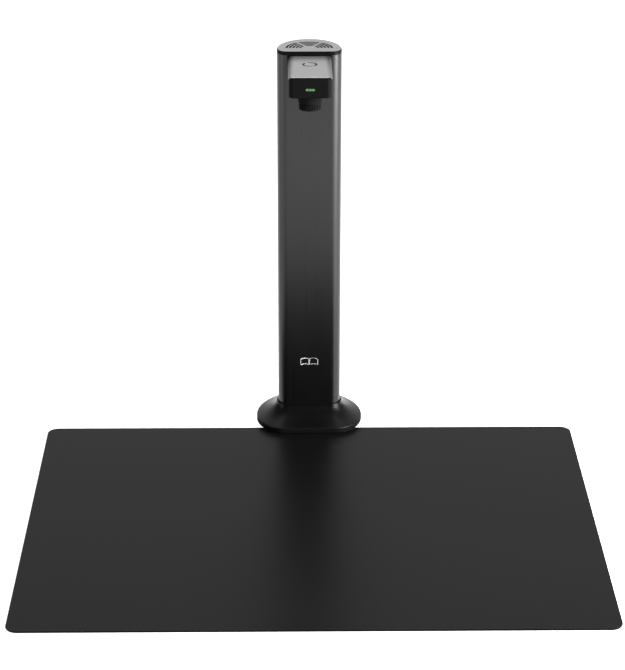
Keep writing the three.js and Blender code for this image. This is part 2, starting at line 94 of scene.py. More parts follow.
def catmull(points, per=6):
    """A smooth curve through the points, for a profile that shouldn't show its corners."""
    p = [points[0]] + list(points) + [points[-1]]
    out = []
    for i in range(1, len(p) - 2):
        a, b, c, d = (Vector(q) for q in (p[i - 1], p[i], p[i + 1], p[i + 2]))
        for k in range(per):
            t = k / per
            v = 0.5 * (2 * b + (c - a) * t + (2 * a - 5 * b + 4 * c - d) * t * t + (3 * b - a - 3 * c + d) * t ** 3)
            out.append((v.x, v.y))
    out.append(tuple(points[-1]))
    return out


def new_mesh(name, verts, faces):
    me = bpy.data.meshes.new(name)
    me.from_pydata([(x * MM, y * MM, z * MM) for x, y, z in verts], [], faces)
    me.validate()
    bm = bmesh.new()
    bm.from_mesh(me)
    bmesh.ops.remove_doubles(bm, verts=bm.verts, dist=1e-7)
    bmesh.ops.recalc_face_normals(bm, faces=bm.faces)
    bm.to_mesh(me)
    bm.free()
    ob = bpy.data.objects.new(name, me)
    bpy.context.scene.collection.objects.link(ob)
    return ob


def loft(name, rings, closed=False):
    """Skins rings of equal length. closed joins the last ring to the first, otherwise each end is a face."""
    n, verts, faces = len(rings[0]), [], []
    for r in rings:
        verts.extend(r)
    m = len(rings)
    for j in range(m if closed else m - 1):
        k = (j + 1) % m
        for i in range(n):
            i2 = (i + 1) % n
            faces.append((j * n + i, j * n + i2, k * n + i2, k * n + i))
    if not closed:
        faces.append(tuple(reversed(range(n))))
        faces.append(tuple(range((m - 1) * n, m * n)))
    return new_mesh(name, verts, faces)


def prism(name, pts, z0, z1):
    return loft(name, [[(x, y, z0) for x, y in pts], [(x, y, z1) for x, y in pts]])


def prism_y(name, pts, y0, y1):
    return loft(name, [[(x, y0, z) for x, z in pts], [(x, y1, z) for x, z in pts]])


def prism_x(name, pts, x0, x1):
    return loft(name, [[(x0, y, z) for y, z in pts], [(x1, y, z) for y, z in pts]])


def box(name, x0, x1, y0, y1, z0, z1):
    return prism(name, [(x0, y0), (x1, y0), (x1, y1), (x0, y1)], z0, z1)


def lathe(name, profile, n=96, x=0.0, y=0.0):
    """A body of revolution from a closed [r, z] profile. Points on the axis become poles."""
    verts, faces, index = [], [], []
    for r, z in profile:
        if r < 1e-9:
            index.append([len(verts)] * n)
            verts.append((x, y, z))
        else:
            index.append(list(range(len(verts), len(verts) + n)))
            verts.extend((x + r * math.cos(i / n * 2 * math.pi), y + r * math.sin(i / n * 2 * math.pi), z) for i in range(n))
    m = len(profile)
    for j in range(m):
        a, b = index[j], index[(j + 1) % m]
        for i in range(n):
            k = (i + 1) % n
            f = []
            for v in (a[i], a[k], b[k], b[i]):
                if v not in f:
                    f.append(v)
            if len(f) > 2:
                faces.append(tuple(f))
    return new_mesh(name, verts, faces)


def apply(ob):
    dg = bpy.context.evaluated_depsgraph_get()
    me = bpy.data.meshes.new_from_object(ob.evaluated_get(dg))
    old = ob.data
    ob.modifiers.clear()
    ob.data = me
    bpy.data.meshes.remove(old)
    return ob


def boolean(ob, others, operation="DIFFERENCE"):
    for o in others:
        m = ob.modifiers.new("b", "BOOLEAN")
        m.operation, m.object, m.solver = operation, o, "EXACT"
    apply(ob)
    for o in others:
        me = o.data
        bpy.data.objects.remove(o)
        bpy.data.meshes.remove(me)
    return ob


def bevel(ob, width, segments=2, angle=35):
    bm = bmesh.new()
    bm.from_mesh(ob.data)
    bmesh.ops.remove_doubles(bm, verts=bm.verts, dist=2e-6)
    bmesh.ops.dissolve_limit(bm, angle_limit=math.radians(0.4), verts=bm.verts, edges=bm.edges)
    bm.to_mesh(ob.data)
    bm.free()
    m = ob.modifiers.new("v", "BEVEL")
    m.width, m.segments, m.limit_method, m.angle_limit = width * MM, segments, "ANGLE", math.radians(angle)
    m.use_clamp_overlap = True
    return apply(ob)


def add(ob, body, material, replaces=(), angle=35):
    me = ob.data
    me.materials.clear()
    me.materials.append(material)
    for p in me.polygons:
        p.use_smooth = True
        p.material_index = 0
    me.set_sharp_from_angle(angle=math.radians(angle))
    m = ob.modifiers.new("n", "WEIGHTED_NORMAL")
    m.keep_sharp, m.weight = True, 90
    apply(ob)
    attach(ob, body)
    if replaces:
        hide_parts(*replaces)
    return ob


def arc(cx, cz, r, a0, a1, n=5):
    return [(cx + r * math.cos(math.radians(a0 + (a1 - a0) * i / n)), cz + r * math.sin(math.radians(a0 + (a1 - a0) * i / n))) for i in range(n + 1)]


# ---- materials ----------------------------------------------------------------------------------------------------
class Nodes:
    def __init__(self, name):
        self.m = bpy.data.materials.new(name)
        self.m.use_nodes = True
        self.t = self.m.node_tree
        self.p = self.t.nodes["Principled BSDF"]
        self.co = self.t.nodes.new("ShaderNodeTexCoord").outputs["Object"]

    def new(self, kind, **values):
        n = self.t.nodes.new(kind)
        for k, v in values.items():
            if k.startswith("in_"):
                n.inputs[k[3:]].default_value = v
            else:
                setattr(n, k, v)
        return n

    def link(self, a, b):
        self.t.links.new(a, b)

    def mapped(self, scale=(1, 1, 1)):
        n = self.new("ShaderNodeMapping")
        n.inputs["Scale"].default_value = scale
        self.link(self.co, n.inputs["Vector"])
        return n.outputs["Vector"]

    def noise(self, scale, detail=3.0, rough=0.5, stretch=(1, 1, 1)):
        n = self.new("ShaderNodeTexNoise")
        n.inputs["Scale"].default_value = scale
        n.inputs["Detail"].default_value = detail
        n.inputs["Roughness"].default_value = rough
        self.link(self.mapped(stretch), n.inputs["Vector"])
        return n.outputs["Fac"]

    def voronoi(self, scale, feature="F1", stretch=(1, 1, 1)):
        n = self.new("ShaderNodeTexVoronoi", feature=feature)
        n.inputs["Scale"].default_value = scale
        self.link(self.mapped(stretch), n.inputs["Vector"])
        return n.outputs["Distance"]

    def ramp(self, fac, stops):
        n = self.new("ShaderNodeValToRGB")
        el = n.color_ramp.elements
        while len(el) < len(stops):
            el.new(0.5)
        for e, (pos, c) in zip(el, stops):
            e.position = pos
            e.color = c if len(c) == 4 else (*c, 1)
        self.link(fac, n.inputs["Fac"])
        return n.outputs["Color"]

    def range(self, fac, lo, hi, a=0.3, b=0.7):
        n = self.new("ShaderNodeMapRange")
        n.inputs["From Min"].default_value = a
        n.inputs["From Max"].default_value = b
        n.inputs["To Min"].default_value = lo
        n.inputs["To Max"].default_value = hi
        self.link(fac, n.inputs["Value"])
        return n.outputs["Result"]

    def math(self, op, a, b):
        n = self.new("ShaderNodeMath", operation=op)
        for i, v in enumerate((a, b)):
            if isinstance(v, (int, float)):
                n.inputs[i].default_value = v
            else:
                self.link(v, n.inputs[i])
        return n.outputs[0]

    def bump(self, height, strength, distance, below=None):
        n = self.new("ShaderNodeBump")
        n.inputs["Strength"].default_value = strength
        n.inputs["Distance"].default_value = distance
        self.link(height, n.inputs["Height"])
        if below is not None:
            self.link(below, n.inputs["Normal"])
        return n.outputs["Normal"]

    def colour(self, fac, dark, light, a=0.3, b=0.7):
        self.link(self.ramp(fac, [(a, dark), (b, light)]), self.p.inputs["Base Color"])

    def rough(self, fac, lo, hi, a=0.3, b=0.7):
        self.link(self.range(fac, lo, hi, a, b), self.p.inputs["Roughness"])

    def normal(self, n):
        self.link(n, self.p.inputs["Normal"])

    def put(self, **values):
        for k, v in values.items():
            self.p.inputs[k.replace("_", " ")].default_value = v


def grey(v, warm=0.0):
    return (v * (1 + warm), v, v * (1 - warm))


def material_gunmetal():
    """Anodised extruded aluminium, dark, with faint draw lines along its length."""
    k = Nodes("anodised_gunmetal")
    lines = k.noise(1.0, 4, 0.6, (2600, 2600, 9))
    blotch = k.noise(14, 3, 0.5, (1, 1, 0.5))
    k.colour(k.math("ADD", k.math("MULTIPLY", lines, 0.6), k.math("MULTIPLY", blotch, 0.4)), grey(0.0315), grey(0.039))
    k.rough(lines, 0.27, 0.33)
    k.normal(k.bump(k.noise(5200, 2, 0.6), 0.06, 0.00002, k.bump(lines, 0.05, 0.00002)))
    k.put(Metallic=1.0)
    return k.m


def material_base():
    """Fine metallic paint over a casting."""
    k = Nodes("metallic_paint")
    flake = k.noise(5200, 2, 0.7)
    blotch = k.noise(22, 3)
    paint = k.ramp(k.math("ADD", k.math("MULTIPLY", flake, 0.7), k.math("MULTIPLY", blotch, 0.3)), [(0.3, grey(0.0115)), (0.7, grey(0.0155))])
    # painted shade: the colour darkens with height into the cove under the collar, to half its value at the top
    s = k.new("ShaderNodeSeparateXYZ")
    k.link(k.co, s.inputs["Vector"])
    n = k.new("ShaderNodeMixRGB", blend_type="MULTIPLY")
    n.inputs["Fac"].default_value = 1.0
    k.link(paint, n.inputs["Color1"])
    k.link(k.range(s.outputs["Z"], 1.0, 0.5, 0.011, 0.019), n.inputs["Color2"])
    k.link(n.outputs["Color"], k.p.inputs["Base Color"])
    k.rough(flake, 0.34, 0.42)
    k.normal(k.bump(flake, 0.08, 0.00002, k.bump(k.noise(120, 2), 0.02, 0.0002)))
    k.put(Metallic=1.0, Sheen_Weight=0.06, Sheen_Roughness=0.3)
    return k.m


def material_satin_grey(name="satin_grey_lacquer", lo=0.262, hi=0.293, shade_span=None):
    """Silver-grey lacquer. An optional pair of half widths gives the band across which painted shade darkens the colour
    towards the sides, starting further in towards the rear.
    """
    k = Nodes(name)
    fine = k.noise(4200, 2, 0.7)
    coat = k.ramp(k.math("ADD", k.math("MULTIPLY", fine, 0.5), k.math("MULTIPLY", k.noise(30, 3), 0.5)), [(0.3, grey(lo)), (0.7, grey(hi))])
    if shade_span:
        # painted shade: darker towards the sides, starting further in towards the rear
        s = k.new("ShaderNodeSeparateXYZ")
        k.link(k.co, s.inputs["Vector"])
        across = k.math("ADD", k.math("ABSOLUTE", s.outputs["X"], 0.0), k.math("MULTIPLY", k.math("ADD", s.outputs["Y"], 0.083), 0.034))
        painted_shade = k.range(across, 1.0, 0.3, *shade_span)
        n = k.new("ShaderNodeMixRGB", blend_type="MULTIPLY")
        n.inputs["Fac"].default_value = 1.0
        k.link(coat, n.inputs["Color1"])
        k.link(painted_shade, n.inputs["Color2"])
        coat = n.outputs["Color"]
    k.link(coat, k.p.inputs["Base Color"])
    k.rough(fine, 0.3, 0.38)
    k.normal(k.bump(fine, 0.08, 0.00003))
    k.put(Metallic=0.8)
    return k.m


def material_black_plastic(name="black_grained_plastic", lo=0.0015, hi=0.003, r=(0.46, 0.6), grain=2300, strength=0.2, spec=0.02):
    k = Nodes(name)
    cells = k.voronoi(grain, "SMOOTH_F1")
    fine = k.noise(grain * 1.6, 3, 0.6)
    k.colour(fine, grey(lo), grey(hi))
    k.rough(cells, r[0], r[1], 0.1, 0.6)
    k.normal(k.bump(cells, strength, 0.00004, k.bump(fine, strength * 0.5, 0.00002)))
    k.p.inputs["Specular IOR Level"].default_value = spec
    return k.m


def material_rubber(name="black_rubber", lo=0.010, hi=0.017, spec=0.5):
    k = Nodes(name)
    fine = k.noise(1500, 5, 0.65)
    k.colour(k.noise(60, 4), grey(lo), grey(hi))
    k.p.inputs["Specular IOR Level"].default_value = spec
    k.rough(fine, 0.72, 0.9)
    k.normal(k.bump(fine, 0.35, 0.00008))
    return k.m


def material_mat():
    """Black coated mat: fine leathery grain with a low sheen."""
    k = Nodes("scan_mat_surface")
    cells = k.voronoi(1150, "SMOOTH_F1")
    fine = k.noise(2600, 3, 0.6)
    soft = k.noise(9, 3, 0.5)
    k.colour(k.math("ADD", k.math("MULTIPLY", fine, 0.5), k.math("MULTIPLY", soft, 0.5)), grey(0.0012), grey(0.002))
    k.rough(k.math("ADD", k.math("MULTIPLY", cells, 0.5), k.math("MULTIPLY", soft, 0.5)), 0.30, 0.37, 0.2, 0.7)
    k.normal(k.bump(cells, 0.10, 0.00006, k.bump(fine, 0.08, 0.00003)))
    k.p.inputs["Specular IOR Level"].default_value = 0.075
    return k.m


def material_metal(name, lo, hi, r=(0.25, 0.4), scale=900, stretch=(1, 1, 1), bump=0.08):
    k = Nodes(name)
    n = k.noise(scale, 4, 0.6, stretch)
    k.colour(n, lo, hi)
    k.rough(n, r[0], r[1])
    k.normal(k.bump(n, bump, 0.00003))
    k.put(Metallic=1.0)
    return k.m


def material_iron():
    k = Nodes("cast_iron")
    n = k.noise(700, 6, 0.7)
    k.colour(n, grey(0.03), grey(0.07, 0.04))
    k.rough(n, 0.6, 0.8)
    k.normal(k.bump(n, 0.5, 0.0002))
    k.put(Metallic=0.9)
    return k.m


def material_pcb():
    k = Nodes("green_solder_mask")
    tracks = k.voronoi(420, "DISTANCE_TO_EDGE")
    lines = k.ramp(tracks, [(0.04, (0.02, 0.14, 0.05)), (0.09, (0.006, 0.06, 0.02))])
    k.link(lines, k.p.inputs["Base Color"])
    k.rough(k.noise(800, 2), 0.25, 0.4)
    k.normal(k.bump(tracks, 0.2, 0.00003))
    return k.m


def material_cable():
    k = Nodes("flat_cable")
    w = k.new("ShaderNodeTexWave", wave_type="BANDS", bands_direction="X")
    w.inputs["Scale"].default_value = 320
    k.link(k.mapped(), w.inputs["Vector"])
    k.colour(w.outputs["Fac"], (0.42, 0.40, 0.36), (0.62, 0.6, 0.55))
    k.rough(k.noise(300, 2), 0.3, 0.45)
    k.normal(k.bump(w.outputs["Fac"], 0.3, 0.00005))
    return k.m


def material_glass():
    k = Nodes("coated_lens_glass")
    n = k.noise(25, 2)
    k.colour(n, (0.72, 0.75, 0.9), (0.82, 0.8, 0.95))
    k.rough(n, 0.01, 0.03)
    k.put(Transmission_Weight=1.0, IOR=1.6, Coat_Weight=0.4, Coat_Roughness=0.02, Coat_Tint=(0.6, 0.45, 1.0, 1))
    return k.m


def material_opal():
    k = Nodes("opal_diffuser")
    n = k.noise(1800, 3)
    k.colour(n, grey(0.66), grey(0.74))
    k.rough(n, 0.4, 0.5)
    k.normal(k.bump(k.voronoi(900), 0.25, 0.00008))
    k.put(Subsurface_Weight=0.3)
    k.p.inputs["Subsurface Radius"].default_value = (0.002, 0.002, 0.002)
    return k.m


def material_light():
    """Green light pipe with three brighter cores, one over each diode."""
    k = Nodes("green_light_pipe")
    s = k.new("ShaderNodeSeparateXYZ")
    k.link(k.co, s.inputs["Vector"])
    spots = None
    for cx in (-0.0026, 0.0, 0.0026):
        d = k.math("ABSOLUTE", k.math("SUBTRACT", s.outputs["X"], cx), 0.0)
        g = k.range(d, 1.0, 0.0, 0.0, 0.0013)
        spots = g if spots is None else k.math("MAXIMUM", spots, g)
    v = k.range(k.math("ABSOLUTE", k.math("SUBTRACT", s.outputs["Z"], LIGHT_Z * MM), 0.0), 1.0, 0.15, 0.0002, 0.001)
    f = k.math("MULTIPLY", spots, v)
    k.link(k.ramp(f, [(0.0, (0.012, 0.035, 0.010)), (0.4, (0.045, 0.12, 0.03)), (1.0, (0.044, 0.125, 0.018))]), k.p.inputs["Emission Color"])
    k.put(Emission_Strength=1.0)
    k.link(k.ramp(f, [(0.0, (0.006, 0.02, 0.006)), (1.0, (0.02, 0.06, 0.015))]), k.p.inputs["Base Color"])
    k.rough(k.noise(900, 2), 0.2, 0.3)
    return k.m


def material_print():
    k = Nodes("grey_print_ink")
    n = k.noise(3000, 3)
    k.colour(n, grey(0.20), grey(0.26))
    k.rough(n, 0.4, 0.55)
    return k.m


gunmetal = material_gunmetal()
base_paint = material_base()
satin = material_satin_grey()
# the cover's grey carries painted shade on its shoulders and towards its rear
satin_cover = material_satin_grey("satin_grey_cover", shade_span=(0.0151, 0.0186))
satin_shade = material_satin_grey("satin_grey_shadow", 0.06, 0.08)
satin_button = material_satin_grey("satin_grey_button", 0.27, 0.30)
black = material_black_plastic()
black_gloss = material_black_plastic("black_gloss_plastic", 0.0015, 0.003, (0.24, 0.32), 900, 0.03, 0.035)
black_satin = material_black_plastic("black_satin_plastic", 0.0035, 0.0055, (0.55, 0.65), 3200, 0.1, 0.008)
rim = material_black_plastic("base_rim_matte", 0.0015, 0.0025, (0.6, 0.75), 2600, 0.2, 0.02)
rubber = material_rubber()
mat_top = material_mat()
zinc = material_metal("zinc_plate", grey(0.42), grey(0.55, 0.02), (0.25, 0.42))
steel = material_metal("bracket_steel", grey(0.4), grey(0.5), (0.3, 0.45), 60, (40, 1, 1))
shell_metal = material_metal("nickel_shell", grey(0.5, 0.02), grey(0.6, 0.03), (0.18, 0.3), 1200)
gold = material_metal("gold_contacts", (0.75, 0.5, 0.16), (0.85, 0.6, 0.22), (0.18, 0.3), 1500)
fin_alloy = material_metal("heat_sink_alloy", grey(0.2), grey(0.28), (0.35, 0.5), 500, (1, 1, 0.1))
iron = material_iron()
pcb = material_pcb()
cable = material_cable()
glass = material_glass()
opal = material_opal()
light = material_light()
ink = material_print()

# ---- mat ----------------------------------------------------------------------------------------------------------
MAT_Y = -218.0


def mat_rings(z0, z1, grow, r_bottom, r_top, n=14):
    rings = []
    for d, z in [(r_bottom, z0), (r_bottom * 0.3, z0 + r_bottom * 0.3), (0, z0 + r_bottom), (0, z1 - r_top), (r_top * 0.1, z1 - r_top * 0.56),
                 (r_top * 0.3, z1 - r_top * 0.29), (r_top * 0.62, z1 - r_top * 0.08), (r_top, z1)]:
        rings.append([(x, y, z) for x, y in round_rect(240 + grow - d, 190 + grow - d, 10 + grow - d, n, 0, MAT_Y)])
    return rings


scan_mat = add(loft("scan_mat_look", mat_rings(0.8, 1.5, 0, 0.05, 0.3)), "mat", mat_top, ["scan_mat"], 60)
backing_rubber = material_rubber("mat_backing_rubber", 0.0016, 0.003, 0.03)
scan_mat.data.materials.append(backing_rubber)
for p in scan_mat.data.polygons:
    if abs(p.normal.z) < 0.4 or p.normal.z < 0:
        p.material_index = 1
backing = add(loft("mat_backing_look", mat_rings(0.0, 0.8, -0.4, 0.1, 0.05)), "mat", backing_rubber, ["mat_backing"], 60)

# ---- base ---------------------------------------------------------------------------------------------------------
outer = [(0, 2.2), (0, 2.5), (0, 6.2), (0.004, 6.5), (0.014, 6.78), (0.03, 7.0)] + catmull([(0.045, 7.15), (0.1, 7.6), (0.2, 8.4), (0.4, 10.1), (0.6, 12.4), (0.75, 14.7), (0.86, 17.1), (0.918, 19.0)], 5)
outer += [(0.926, 19.6), (0.932, 20.1), (0.94, 20.5), (0.951, 20.85), (0.965, 21.05), (0.98, 21.1), (0.992, 20.95), (1.0, 20.6)]
inner = [(1, 14.2), (0.8, 11.7), (0.6, 9.6), (0.35, 7.8), (0.12, 6.4), (0.055, 5.4), (0.055, 2.5), (0.045, 2.2), (0.012, 2.2)]
outer[0] = (0.006, 2.25)
rings = [[(x, y, z) for x, y in outline(mix(BASE, COLLAR, u), 22, 84)] for u, z in outer + inner]
base_ob = add(loft("base_cover_look", rings, True), "stand", base_paint, ["base_cover"], 50)
base_ob.data.materials.append(rim)
for p in base_ob.data.polygons:
    if p.center.z < 6.4 * MM:
        p.material_index = 1

BASE_SCREWS = [(34, -22), (-34, -22), (27, 20), (-27, 20)]
plate = prism("base_plate_look", outline(mix(BASE, COLLAR, 0.12)), 2.2, 4.8)
holes = []
for x, y in BASE_SCREWS + [(PORT_X, -6), (-PORT_X, -6)]:
    holes.append(prism("h", circle(1.6, 32, x, y), 1, 6))
    holes.append(prism("h", circle(3.0, 48, x, y), 1, 3.7))
boolean(plate, holes)
add(bevel(plate, 0.15, 2), "stand", zinc, ["base_plate"])


def screw_up(name, x, y, head_r, z0, z1, shank_r, tip, depth=0.7, down=False):
    """A pan-head screw with a cross recess; z0 is the outer face of its head."""
    s = -1 if down else 1
    h = abs(z1 - z0)
    prof = [(0, 0), (head_r - 0.45, 0), (head_r - 0.18, 0.06), (head_r - 0.05, 0.2), (head_r, 0.4), (head_r, h), (shank_r, h)]
    turns = max(3, int((abs(tip - z0) - h - 0.6) / 0.5))
    z = h + 0.15
    for _ in range(turns):
        prof += [(shank_r - 0.16, z), (shank_r, z + 0.2)]
        z += (abs(tip - z0) - h - 0.6) / turns
    prof += [(shank_r * 0.7, abs(tip - z0) - 0.1), (0, abs(tip - z0))]
    ob = lathe(name, [(r, z0 + s * d) for r, d in prof], 40, x, y)
    lo, hi = (z0 - 1, z0 + depth) if not down else (z0 - depth, z0 + 1)
    a = box("c", x - head_r * 0.62, x + head_r * 0.62, y - 0.28, y + 0.28, lo, hi)
    b = box("c", x - 0.28, x + 0.28, y - head_r * 0.62, y + head_r * 0.62, lo, hi)
    return boolean(ob, [a, b])


for i, (x, y) in enumerate(BASE_SCREWS):
    add(screw_up(f"base_screw_{i + 1}_look", x, y, 2.6, 2.5, 3.7, 1.15, 7.0), "stand", zinc, [f"base_screw_{i + 1}"])

# rubber pad with moulded grooves
pad = dict(hw=38, front=-26.4, wide=-4, back=36, flat=24)
pad_ob = loft("foot_pad_look", [[(x, y, z) for x, y in outline(inset(pad, d), 14, 60)] for d, z in ((0.35, 0), (0.1, 0.1), (0, 0.35), (0, 2.2))])
grooves = []
for d in (4, 9, 14, 19):
    o, i2 = inset(pad, d), inset(pad, d + 1.2)
    o["flat"] -= d
    i2["flat"] -= d + 1.2
    ring_o = [(x, y) for x, y in outline(o, 12, 48)]
    ring_i = [(x, y) for x, y in outline(i2, 12, 48)]
    grooves.append(loft("g", [[(x, y, z) for x, y in ring] for ring, z in ((ring_o, -1), (ring_o, 0.5), (ring_i, 0.5), (ring_i, -1))], True))
boolean(pad_ob, grooves)
add(pad_ob, "stand", rubber, ["foot_pad"])

# ---- column -------------------------------------------------------------------------------------------------------
WALL_IN = dict(hw=26.5, front=-15.8, wide=-7.0, back=23.5, flat=19.5)
out_p, in_p = outline(COLUMN, 24, 96), outline(WALL_IN, 24, 96)
zs = [7.8] + [20 + i * 332.0 / 8 for i in range(8)] + [CAP_Z0]
rings = [[(x, y, z) for x, y in out_p] for z in zs] + [[(x, y, z) for x, y in in_p] for z in reversed(zs)]
tube = loft("column_look", rings, True)
ribs = []
for s in (-1, 1):
    ribs.append(prism("r", circle(3.4, 40, s * PORT_X, -6), 7.8, CAP_Z0))
    ribs.append(box("r", min(s * 17.7, s * 21.5), max(s * 17.7, s * 21.5), 10.6, 11.8, 7.8, 330))
    ribs.append(box("r", min(s * 16.4, s * 19.6), max(s * 16.4, s * 19.6), 13.8, 15, 7.8, 330))
boolean(tube, ribs, "UNION")
boolean(tube, [
    prism("c", circle(1.4, 28, PORT_X, -6), 0, 400), prism("c", circle(1.4, 28, -PORT_X, -6), 0, 400),
    prism_y("c", [(x, z) for x, z in round_rect(19.3, 12, 0.5, 3, 0, 343.4)], -25, -14.5),
    prism_y("c", [(x, z) for x, z in round_rect(11, 5.5, 1.5, 8, 0, SOCKET_Z)], 17, 30)])
add(tube, "stand", gunmetal, ["column_tube"], 30)

# a small generic open-book mark printed on the column's front
def stroke(points, w):
    verts, faces = [], []
    for i, (x, z) in enumerate(points):
        a, b = points[max(i - 1, 0)], points[min(i + 1, len(points) - 1)]
        dx, dz = b[0] - a[0], b[1] - a[1]
        n = math.hypot(dx, dz) or 1
        nx, nz = -dz / n * w / 2, dx / n * w / 2
        verts += [(x + nx, z + nz), (x - nx, z - nz)]
    for i in range(len(points) - 1):
        faces.append((2 * i, 2 * i + 1, 2 * i + 3, 2 * i + 2))
    return verts, faces


verts, faces = [], []
CX, CZ = 0.0, 62.6
for s in (-1, 1):
    page = [(CX + s * (0.35 + 7.4 * t), CZ + 3.0 + 1.0 * math.sin(t * math.pi) - 0.3 * t) for t in [i / 12 for i in range(13)]]
    foot = [(x, z - 5.6) for x, z in page]
    for line in (page, foot, [page[0], foot[0]], [page[-1], foot[-1]]):
        v, f = stroke(line, 0.6)
        k = len(verts)
        verts += v
        faces += [tuple(k + j for j in face) for face in f]
me = bpy.data.meshes.new("book_mark")
n = len(verts)
allv = [(x * MM, (COLUMN["front"] - 0.03) * MM, z * MM) for x, z in verts] + [(x * MM, (COLUMN["front"] + 0.03) * MM, z * MM) for x, z in verts]
solid_faces = []
for f in faces:
    b = tuple(j + n for j in reversed(f))
    solid_faces += [f, b]
    for i in range(4):
        p, q = f[i], f[(i + 1) % 4]
        solid_faces.append((q, p, p + n, q + n))
me.from_pydata(allv, [], solid_faces)
me.validate()
mark = bpy.data.objects.new("book_mark", me)
bpy.context.scene.collection.objects.link(mark)
add(mark, "stand", ink, ())

# ---- cap and vents ------------------------------------------------------------------------------------------------
def half_disc(r, n=48):
    return [(-r, FAN_Y), (r, FAN_Y)] + [(r * math.cos(i / n * math.pi), FAN_Y + r * math.sin(i / n * math.pi)) for i in range(1, n)]


cap_profile = [(0.12, CAP_Z0), (0.0, CAP_Z0 + 0.12), (0.0, CAP_Z1 - 0.3), (0.09, CAP_Z1 - 0.09), (0.3, CAP_Z1)]
cap = loft("cap_look", [[(x, y, z) for x, y in outline(inset(COLUMN, d), 24, 96)] for d, z in cap_profile])
so, si = dict(hw=26.1, front=-15, wide=-7, back=23, flat=19.5), dict(hw=24.5, front=-14, wide=-7, back=21.4, flat=19.5)
skirt = loft("s", [[(x, y, z) for x, y in ring] for ring, z in ((outline(so), 342), (outline(so), CAP_Z0 + 0.8), (outline(si), CAP_Z0 + 0.8), (outline(si), 342))], True)
boolean(skirt, [box("k", -40, 40, 2, 40, 330, 360)], "INTERSECT")
boolean(cap, [skirt, box("l", -19, 19, COLUMN["front"], COLUMN["front"] + 2, 351.3, CAP_Z0 + 0.8)], "UNION")
cuts = [prism("c", half_disc(21.5), 350, 360)]
for x, y in ((PORT_X, -6), (-PORT_X, -6), (8, -11.4), (-8, -11.4)):
    cuts += [prism("c", circle(1.6, 28, x, y), 351, 360), prism("c", circle(2.7, 36, x, y), 353.1, 360)]
boolean(cap, cuts)
add(cap, "stand", black_gloss, ["cap_body"], 30)

vent_profile = [(0.55, CAP_Z1), (0.55, TOP_Z - 0.1), (0.58, TOP_Z - 0.03), (0.65, TOP_Z)]
vents = loft("vent_plate_look", [[(x, y, z) for x, y in outline(inset(COLUMN, d), 24, 96)] for d, z in vent_profile])
slots = []
for r in (8, 11, 14, 17, 19.9):
    for a0 in (0, 60, 120):
        s = math.radians(a0) + (0 if a0 == 0 else 1) / r
        e = math.radians(a0 + 60) - (0 if a0 == 120 else 1) / r
        m = 16
        pts = [((r + 0.92) * math.cos(s + (e - s) * i / m), FAN_Y + (r + 0.92) * math.sin(s + (e - s) * i / m)) for i in range(m + 1)]
        pts += [((r - 0.92) * math.cos(s + (e - s) * i / m), FAN_Y + (r - 0.92) * math.sin(s + (e - s) * i / m)) for i in range(m, -1, -1)]
        slots.append(prism("s", pts, 353, 356))
boolean(vents, slots)
add(vents, "stand", satin, ["vent_plate"], 30)
vents.data.materials.append(black)
# painted shade: the plate's side walls and rounded top edge are black, which hides their highlight
for p in vents.data.polygons:
    c = p.center / MM
    if p.normal.z < 0.9:
        p.material_index = 1

# a woven dust screen under the slots
screen = prism("vent_screen", half_disc(21.3), 353.2, 353.35)
k = Nodes("dust_screen")
w1 = k.new("ShaderNodeTexWave", wave_type="BANDS", bands_direction="X")
w1.inputs["Scale"].default_value = 520
k.link(k.mapped(), w1.inputs["Vector"])
w2 = k.new("ShaderNodeTexWave", wave_type="BANDS", bands_direction="Y")
w2.inputs["Scale"].default_value = 520
k.link(k.mapped(), w2.inputs["Vector"])
weave = k.math("MULTIPLY", w1.outputs["Fac"], w2.outputs["Fac"])
k.colour(weave, grey(0.0015), grey(0.003), 0.1, 0.6)
k.rough(weave, 0.9, 0.8)
k.normal(k.bump(weave, 0.5, 0.0001))
add(screen, "stand", k.m, ())

# ---- head ---------------------------------------------------------------------------------------------------------
def head_outline(hw, front, rear, cx, cy, n=14):
    pts = [(hw, rear), (-hw, rear)]
    for i in range(n + 1):
        t = i / n * math.pi / 2
        pts.append((-hw + cx - cx * math.cos(t), front + cy - cy * math.sin(t)))
    for i in range(n, -1, -1):
        t = i / n * math.pi / 2
        pts.append((hw - cx + cx * math.cos(t), front + cy - cy * math.sin(t)))
    return pts


def head_ring(d, z, hw=HEAD_HW, front=HEAD_FRONT, rear=-8.0, cx=4.0, cy=6.2):
    return [(x, y, z) for x, y in head_outline(hw - d, front + d, rear - d, max(0.4, cx - d * 0.7), max(0.4, cy - d * 0.7))]


housing = loft("head_housing_look", [head_ring(0.7, 332.0), head_ring(0.33, 332.1), head_ring(0.1, 332.33), head_ring(0, 332.7), head_ring(0, 341), head_ring(0, 350.3)])
boolean(housing, [
    loft("c", [head_ring(0, 335.0, HEAD_HW - 1.8, HEAD_FRONT + 1.8, -3, 2.6, 4.6), head_ring(0, 360, HEAD_HW - 1.8, HEAD_FRONT + 1.8, -3, 2.6, 4.6)]),
    box("c", -30, 30, HEAD_FRONT + 1.8, 10, 349.1, 360)])
posts = [box("p", 14.4, 17, -51, -39, 334.5, 336.6), box("p", -17, -14.4, -51, -39, 334.5, 336.6)]
for x, y in ((14.7, -53.1), (-14.7, -53.1), (14.7, -36.9), (-14.7, -36.9)):
    s = 1 if x > 0 else -1
    posts.append(box("p", min(x, s * 17), max(x, s * 17), y - 1, y + 1, 334.5, 340))
boolean(housing, posts, "UNION")
cuts = [prism("c", circle(10.65, 96, 0, LENS_Y), 330, 340), prism("c", round_rect(12.2, 4.7, 0.4, 4, 0, LAMP_Y), 330, 336),
        prism_y("c", round_rect(4.15, 1.15, 1.12, 10, 0, LIGHT_Z), -90, -78)]
